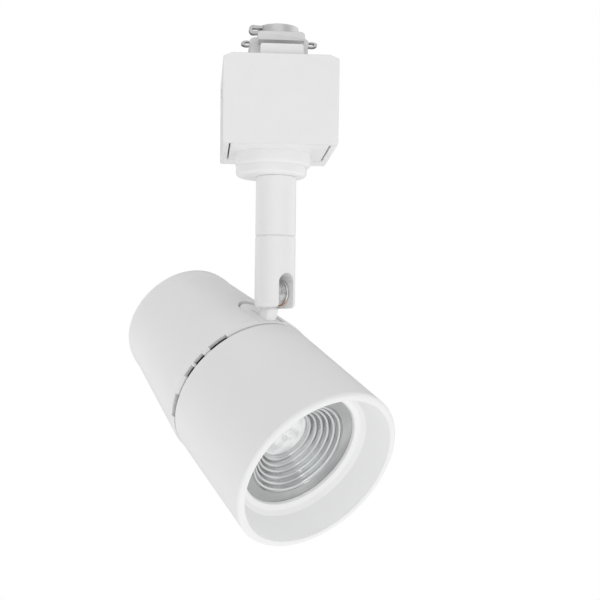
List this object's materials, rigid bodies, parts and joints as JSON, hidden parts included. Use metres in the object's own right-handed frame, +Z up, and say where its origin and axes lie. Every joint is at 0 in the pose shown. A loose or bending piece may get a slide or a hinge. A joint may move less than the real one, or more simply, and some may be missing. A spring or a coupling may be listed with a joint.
{
  "type": "track spotlight",
  "caption": "White plug-in track spotlight: adapter with spring contacts and locking tab, swivelling stem, and a tilting conical lamp head with a stepped lens.",
  "frame": {"origin": "on the adapter's seat face, where the axis of the stem crosses it", "axes": "+Z up, out of the seat face into the track; Y along the track, with the adapter's locking tab at -Y; at rest the head points down and forward, turned towards +X"},
  "size_m": [0.0861, 0.0958, 0.1661],
  "materials": {
    "white_plastic": "satin white moulded plastic",
    "white_paint": "fine matt white powder paint on die-cast aluminium",
    "grey_plastic": "light grey moulded plastic",
    "nickel": "nickel plate",
    "spring_steel": "bright turned or drawn steel",
    "bronze": "rolled phosphor bronze",
    "dark_plastic": "black moulded plastic",
    "circuit_board": "green glass-fibre board",
    "brown_lead": "brown wire insulation",
    "blue_lead": "blue wire insulation",
    "cast_aluminium": "as-cast aluminium",
    "led_board": "white solder mask on an aluminium board",
    "phosphor": "yellow phosphor in clear silicone",
    "lens": "clear moulded acrylic with a metallised back"
  },
  "bodies": {
    "adapter": {"adapter_housing": "white_plastic", "adapter_bottom_cover": "white_plastic", "side_screw_left": "nickel", "side_screw_right": "nickel", "locking_tab_spring": "spring_steel", "contact_carrier": "grey_plastic", "contact_upper_left": "nickel", "contact_lower_left": "nickel", "contact_lower_right": "nickel", "driver_board": "circuit_board", "driver_transformer": "dark_plastic", "driver_capacitor": "dark_plastic", "stem_collar": "white_paint", "stem_tube": "white_paint", "stem_nut": "nickel", "stem_lock_washer": "spring_steel", "lead_live": "brown_lead", "lead_return": "blue_lead", "swivel_nipple": "nickel", "swivel_retaining_ring": "spring_steel"},
    "tab": {"locking_tab": "white_plastic"},
    "stem_foot": {"swivel_washer": "white_plastic", "stem_fork": "white_paint", "hinge_screw": "nickel"},
    "head": {"hinge_knuckle": "spring_steel", "hinge_friction_washer": "bronze", "neck_bracket": "white_paint", "neck_screw_1": "nickel", "neck_screw_2": "nickel", "rear_housing": "white_paint", "vent_ring": "white_plastic", "heat_sink": "cast_aluminium", "head_screw_1": "nickel", "head_screw_2": "nickel", "head_screw_3": "nickel", "led_board": "led_board", "led_emitter": "phosphor", "led_lead": "brown_lead", "front_shade": "white_paint", "glare_baffle": "white_plastic", "lens": "lens", "lens_holder": "dark_plastic"}
  },
  "joints": [
    {"name": "tab_press", "type": "slide", "parent": "adapter", "child": "tab", "axis": [0, 0, 1], "range_m": [-0.003, 0], "stiffness_N_per_m": 400, "springref_m": 0.003, "deforming": ["locking_tab_spring"]},
    {"name": "pan", "type": "hinge", "parent": "adapter", "child": "stem_foot", "pos_m": [0, 0, -0.0558], "axis": [0, 0, 1], "range_deg": [-175, 175]},
    {"name": "tilt", "type": "hinge", "parent": "stem_foot", "child": "head", "pos_m": [0, 0, -0.0728], "axis": [0.809, 0.5878, 0], "range_deg": [-33.2, 56.8]}
  ]
}
